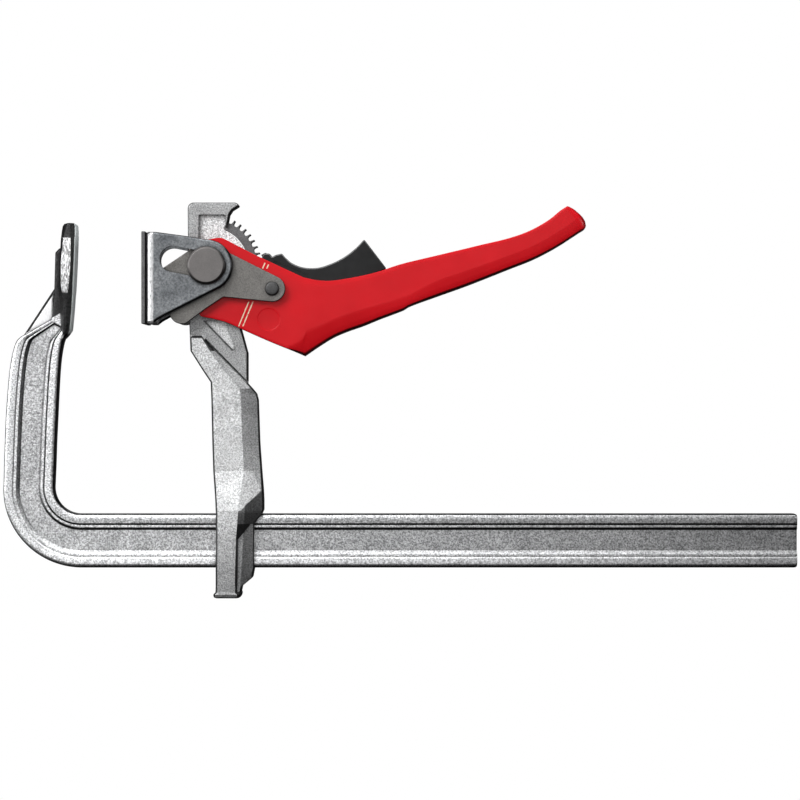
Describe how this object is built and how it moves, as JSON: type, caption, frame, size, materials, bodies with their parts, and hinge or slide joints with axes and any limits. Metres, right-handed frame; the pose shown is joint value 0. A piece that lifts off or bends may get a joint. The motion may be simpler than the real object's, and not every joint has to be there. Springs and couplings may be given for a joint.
{
  "type": "ratchet lever bar clamp",
  "caption": "All-steel bar clamp: bent profile rail with a fixed jaw, and a sliding arm whose ratchet lever drives a cam against a swivelling pad.",
  "frame": {"origin": "the centre of the fixed jaw's pressing face", "axes": "+X along the rail, from the fixed jaw to the free end; +Z from the rail towards the jaws; the front of the clamp faces -Y"},
  "size_m": [0.3311, 0.0386, 0.1646],
  "materials": {
    "galvanised": "galvanised, grainy in the web",
    "zinc_cast": "forged and zinc plated, fine grain",
    "phosphated": "dark phosphated steel",
    "bronze": "plain bronze bush",
    "spring_steel": "blued spring steel",
    "pin_steel": "satin gunmetal",
    "plated_sheet": "zinc plated sheet, streaked",
    "red_paint": "glossy red powder coat",
    "cam_steel": "hardened grey-brown steel",
    "black_plastic": "satin black moulded plastic"
  },
  "bodies": {
    "rail_body": {"rail": "galvanised"},
    "arm_body": {"sliding_arm": "zinc_cast", "ratchet_segment": "phosphated", "segment_rivet_upper": "phosphated", "segment_rivet_lower": "phosphated", "pivot_bush": "bronze", "brake_spring": "spring_steel"},
    "pin_body": {"main_pin": "pin_steel", "main_pin_collar": "pin_steel"},
    "pad_body": {"pad_bracket": "plated_sheet", "pad_face_plate": "phosphated", "pad_rivet_upper": "pin_steel", "pad_rivet_lower": "pin_steel"},
    "lever_body": {"handle": "red_paint", "cam_plate_front": "cam_steel", "cam_plate_rear": "cam_steel", "lever_rivet": "phosphated", "trigger_spring": "spring_steel"},
    "trigger_body": {"trigger": "black_plastic", "pawl": "phosphated", "pawl_pin": "pin_steel"}
  },
  "joints": [
    {"name": "arm_slide", "type": "slide", "parent": "rail_body", "child": "arm_body", "axis": [1, 0, 0], "range_m": [-0.018, 0.21]},
    {"name": "lever_hinge", "type": "hinge", "parent": "arm_body", "child": "lever_body", "pos_m": [0.05543, 0, 0.00565], "axis": [0, -1, 0], "range_deg": [-22.5, 45]},
    {"name": "trigger_hinge", "type": "hinge", "parent": "lever_body", "child": "trigger_body", "pos_m": [0.08242, 0, -0.00385], "axis": [0, -1, 0], "range_deg": [-6, 7]},
    {"name": "pad_swivel", "type": "hinge", "parent": "arm_body", "child": "pin_body", "pos_m": [0.05543, 0, 0.00565], "axis": [0, -1, 0], "range_deg": [-12, 12]},
    {"name": "pad_slide", "type": "slide", "parent": "pin_body", "child": "pad_body", "axis": [-0.9816, 0, 0.1908], "range_m": [-0.0046, 0.0024]}
  ],
  "couplings": [
    {"joint": "pad_slide", "follows": "lever_hinge", "m_per_rad": -0.0057}
  ]
}
